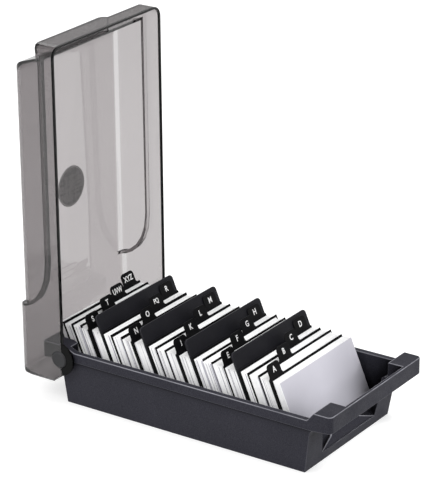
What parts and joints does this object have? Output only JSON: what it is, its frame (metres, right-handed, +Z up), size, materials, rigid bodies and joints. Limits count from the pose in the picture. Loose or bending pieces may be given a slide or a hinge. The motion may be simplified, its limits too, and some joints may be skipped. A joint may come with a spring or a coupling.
{
  "type": "desk card file",
  "caption": "Desk card file: an open tray of leaning cards and lettered guides, with a bar handle and a hinged smoked lid standing open.",
  "frame": {"origin": "centre of the tray's flat underside", "axes": "+Z up, -Y towards the handle end, +Y towards the hinge end, X across the tray"},
  "size_m": [0.1246, 0.2556, 0.2616],
  "materials": {
    "tray_plastic": "fine-textured charcoal moulded plastic, satin",
    "lid_smoked": "smoke-grey see-through moulded plastic, polished",
    "pin_plastic": "charcoal moulded plastic, satin",
    "badge_frosted": "blank frosted grey disc",
    "guide_plastic": "black sheet plastic, fine grain",
    "divider_plastic": "black sheet plastic, fine leather grain",
    "card_stock": "uncoated white card"
  },
  "bodies": {
    "tray": {"tray": "tray_plastic", "pivot_pin_left": "pin_plastic", "pivot_pin_right": "pin_plastic"},
    "lid": {"lid": "lid_smoked", "lid_badge": "badge_frosted"},
    "cards_before_A": {"cards_before_A": "card_stock"},
    "guide_A": {"guide_A": "guide_plastic"},
    "cards_before_B": {"cards_before_B": "card_stock"},
    "guide_B": {"guide_B": "guide_plastic"},
    "cards_before_C": {"cards_before_C": "card_stock"},
    "guide_C": {"guide_C": "guide_plastic"},
    "cards_before_D": {"cards_before_D": "card_stock"},
    "guide_D": {"guide_D": "guide_plastic"},
    "divider_1": {"divider_1": "divider_plastic"},
    "cards_before_E": {"cards_before_E": "card_stock"},
    "guide_E": {"guide_E": "guide_plastic"},
    "cards_before_F": {"cards_before_F": "card_stock"},
    "guide_F": {"guide_F": "guide_plastic"},
    "cards_before_G": {"cards_before_G": "card_stock"},
    "guide_G": {"guide_G": "guide_plastic"},
    "cards_before_H": {"cards_before_H": "card_stock"},
    "guide_H": {"guide_H": "guide_plastic"},
    "divider_2": {"divider_2": "divider_plastic"},
    "cards_before_J": {"cards_before_J": "card_stock"},
    "guide_J": {"guide_J": "guide_plastic"},
    "cards_before_K": {"cards_before_K": "card_stock"},
    "guide_K": {"guide_K": "guide_plastic"},
    "cards_before_L": {"cards_before_L": "card_stock"},
    "guide_L": {"guide_L": "guide_plastic"},
    "cards_before_M": {"cards_before_M": "card_stock"},
    "guide_M": {"guide_M": "guide_plastic"},
    "divider_3": {"divider_3": "divider_plastic"},
    "cards_before_N": {"cards_before_N": "card_stock"},
    "guide_N": {"guide_N": "guide_plastic"},
    "cards_before_O": {"cards_before_O": "card_stock"},
    "guide_O": {"guide_O": "guide_plastic"},
    "cards_before_PQ": {"cards_before_PQ": "card_stock"},
    "guide_PQ": {"guide_PQ": "guide_plastic"},
    "cards_before_R": {"cards_before_R": "card_stock"},
    "guide_R": {"guide_R": "guide_plastic"},
    "divider_4": {"divider_4": "divider_plastic"},
    "cards_before_S": {"cards_before_S": "card_stock"},
    "guide_S": {"guide_S": "guide_plastic"},
    "cards_before_T": {"cards_before_T": "card_stock"},
    "guide_T": {"guide_T": "guide_plastic"},
    "cards_before_UVW": {"cards_before_UVW": "card_stock"},
    "guide_UVW": {"guide_UVW": "guide_plastic"},
    "cards_before_XYZ": {"cards_before_XYZ": "card_stock"},
    "guide_XYZ": {"guide_XYZ": "guide_plastic"},
    "cards_at_back": {"cards_at_back": "card_stock"}
  },
  "joints": [
    {"name": "lid_hinge", "type": "hinge", "parent": "tray", "child": "lid", "pos_m": [0, 0.099, 0.0355], "axis": [-1, 0, 0], "range_deg": [-88.5, 0]},
    {"name": "lift_cards_before_A", "type": "slide", "parent": "tray", "child": "cards_before_A", "axis": [0, 0.3907, 0.9205], "range_m": [0, 0.06]},
    {"name": "lift_guide_A", "type": "slide", "parent": "tray", "child": "guide_A", "axis": [0, 0.3907, 0.9205], "range_m": [0, 0.06]},
    {"name": "lift_cards_before_B", "type": "slide", "parent": "tray", "child": "cards_before_B", "axis": [0, 0.3907, 0.9205], "range_m": [0, 0.06]},
    {"name": "lift_guide_B", "type": "slide", "parent": "tray", "child": "guide_B", "axis": [0, 0.3907, 0.9205], "range_m": [0, 0.06]},
    {"name": "lift_cards_before_C", "type": "slide", "parent": "tray", "child": "cards_before_C", "axis": [0, 0.3907, 0.9205], "range_m": [0, 0.06]},
    {"name": "lift_guide_C", "type": "slide", "parent": "tray", "child": "guide_C", "axis": [0, 0.3907, 0.9205], "range_m": [0, 0.06]},
    {"name": "lift_cards_before_D", "type": "slide", "parent": "tray", "child": "cards_before_D", "axis": [0, 0.3907, 0.9205], "range_m": [0, 0.06]},
    {"name": "lift_guide_D", "type": "slide", "parent": "tray", "child": "guide_D", "axis": [0, 0.3907, 0.9205], "range_m": [0, 0.06]},
    {"name": "lift_divider_1", "type": "slide", "parent": "tray", "child": "divider_1", "axis": [0, 0.3907, 0.9205], "range_m": [0, 0.06]},
    {"name": "lift_cards_before_E", "type": "slide", "parent": "tray", "child": "cards_before_E", "axis": [0, 0.3907, 0.9205], "range_m": [0, 0.06]},
    {"name": "lift_guide_E", "type": "slide", "parent": "tray", "child": "guide_E", "axis": [0, 0.3907, 0.9205], "range_m": [0, 0.06]},
    {"name": "lift_cards_before_F", "type": "slide", "parent": "tray", "child": "cards_before_F", "axis": [0, 0.3907, 0.9205], "range_m": [0, 0.06]},
    {"name": "lift_guide_F", "type": "slide", "parent": "tray", "child": "guide_F", "axis": [0, 0.3907, 0.9205], "range_m": [0, 0.06]},
    {"name": "lift_cards_before_G", "type": "slide", "parent": "tray", "child": "cards_before_G", "axis": [0, 0.3907, 0.9205], "range_m": [0, 0.06]},
    {"name": "lift_guide_G", "type": "slide", "parent": "tray", "child": "guide_G", "axis": [0, 0.3907, 0.9205], "range_m": [0, 0.06]},
    {"name": "lift_cards_before_H", "type": "slide", "parent": "tray", "child": "cards_before_H", "axis": [0, 0.3907, 0.9205], "range_m": [0, 0.06]},
    {"name": "lift_guide_H", "type": "slide", "parent": "tray", "child": "guide_H", "axis": [0, 0.3907, 0.9205], "range_m": [0, 0.06]},
    {"name": "lift_divider_2", "type": "slide", "parent": "tray", "child": "divider_2", "axis": [0, 0.3907, 0.9205], "range_m": [0, 0.06]},
    {"name": "lift_cards_before_J", "type": "slide", "parent": "tray", "child": "cards_before_J", "axis": [0, 0.3907, 0.9205], "range_m": [0, 0.06]},
    {"name": "lift_guide_J", "type": "slide", "parent": "tray", "child": "guide_J", "axis": [0, 0.3907, 0.9205], "range_m": [0, 0.06]},
    {"name": "lift_cards_before_K", "type": "slide", "parent": "tray", "child": "cards_before_K", "axis": [0, 0.3907, 0.9205], "range_m": [0, 0.06]},
    {"name": "lift_guide_K", "type": "slide", "parent": "tray", "child": "guide_K", "axis": [0, 0.3907, 0.9205], "range_m": [0, 0.06]},
    {"name": "lift_cards_before_L", "type": "slide", "parent": "tray", "child": "cards_before_L", "axis": [0, 0.3907, 0.9205], "range_m": [0, 0.06]},
    {"name": "lift_guide_L", "type": "slide", "parent": "tray", "child": "guide_L", "axis": [0, 0.3907, 0.9205], "range_m": [0, 0.06]},
    {"name": "lift_cards_before_M", "type": "slide", "parent": "tray", "child": "cards_before_M", "axis": [0, 0.3907, 0.9205], "range_m": [0, 0.06]},
    {"name": "lift_guide_M", "type": "slide", "parent": "tray", "child": "guide_M", "axis": [0, 0.3907, 0.9205], "range_m": [0, 0.06]},
    {"name": "lift_divider_3", "type": "slide", "parent": "tray", "child": "divider_3", "axis": [0, 0.3907, 0.9205], "range_m": [0, 0.06]},
    {"name": "lift_cards_before_N", "type": "slide", "parent": "tray", "child": "cards_before_N", "axis": [0, 0.3907, 0.9205], "range_m": [0, 0.06]},
    {"name": "lift_guide_N", "type": "slide", "parent": "tray", "child": "guide_N", "axis": [0, 0.3907, 0.9205], "range_m": [0, 0.06]},
    {"name": "lift_cards_before_O", "type": "slide", "parent": "tray", "child": "cards_before_O", "axis": [0, 0.3907, 0.9205], "range_m": [0, 0.06]},
    {"name": "lift_guide_O", "type": "slide", "parent": "tray", "child": "guide_O", "axis": [0, 0.3907, 0.9205], "range_m": [0, 0.06]},
    {"name": "lift_cards_before_PQ", "type": "slide", "parent": "tray", "child": "cards_before_PQ", "axis": [0, 0.3907, 0.9205], "range_m": [0, 0.06]},
    {"name": "lift_guide_PQ", "type": "slide", "parent": "tray", "child": "guide_PQ", "axis": [0, 0.3907, 0.9205], "range_m": [0, 0.06]},
    {"name": "lift_cards_before_R", "type": "slide", "parent": "tray", "child": "cards_before_R", "axis": [0, 0.3907, 0.9205], "range_m": [0, 0.06]},
    {"name": "lift_guide_R", "type": "slide", "parent": "tray", "child": "guide_R", "axis": [0, 0.3907, 0.9205], "range_m": [0, 0.06]},
    {"name": "lift_divider_4", "type": "slide", "parent": "tray", "child": "divider_4", "axis": [0, 0.3907, 0.9205], "range_m": [0, 0.06]},
    {"name": "lift_cards_before_S", "type": "slide", "parent": "tray", "child": "cards_before_S", "axis": [0, 0.3907, 0.9205], "range_m": [0, 0.06]},
    {"name": "lift_guide_S", "type": "slide", "parent": "tray", "child": "guide_S", "axis": [0, 0.3907, 0.9205], "range_m": [0, 0.06]},
    {"name": "lift_cards_before_T", "type": "slide", "parent": "tray", "child": "cards_before_T", "axis": [0, 0.3907, 0.9205], "range_m": [0, 0.06]},
    {"name": "lift_guide_T", "type": "slide", "parent": "tray", "child": "guide_T", "axis": [0, 0.3907, 0.9205], "range_m": [0, 0.06]},
    {"name": "lift_cards_before_UVW", "type": "slide", "parent": "tray", "child": "cards_before_UVW", "axis": [0, 0.3907, 0.9205], "range_m": [0, 0.06]},
    {"name": "lift_guide_UVW", "type": "slide", "parent": "tray", "child": "guide_UVW", "axis": [0, 0.3907, 0.9205], "range_m": [0, 0.05]},
    {"name": "lift_cards_before_XYZ", "type": "slide", "parent": "tray", "child": "cards_before_XYZ", "axis": [0, 0.3907, 0.9205], "range_m": [0, 0.04]},
    {"name": "lift_guide_XYZ", "type": "slide", "parent": "tray", "child": "guide_XYZ", "axis": [0, 0.3907, 0.9205], "range_m": [0, 0.04]},
    {"name": "lift_cards_at_back", "type": "slide", "parent": "tray", "child": "cards_at_back", "axis": [0, 0.3907, 0.9205], "range_m": [0, 0.04]}
  ]
}
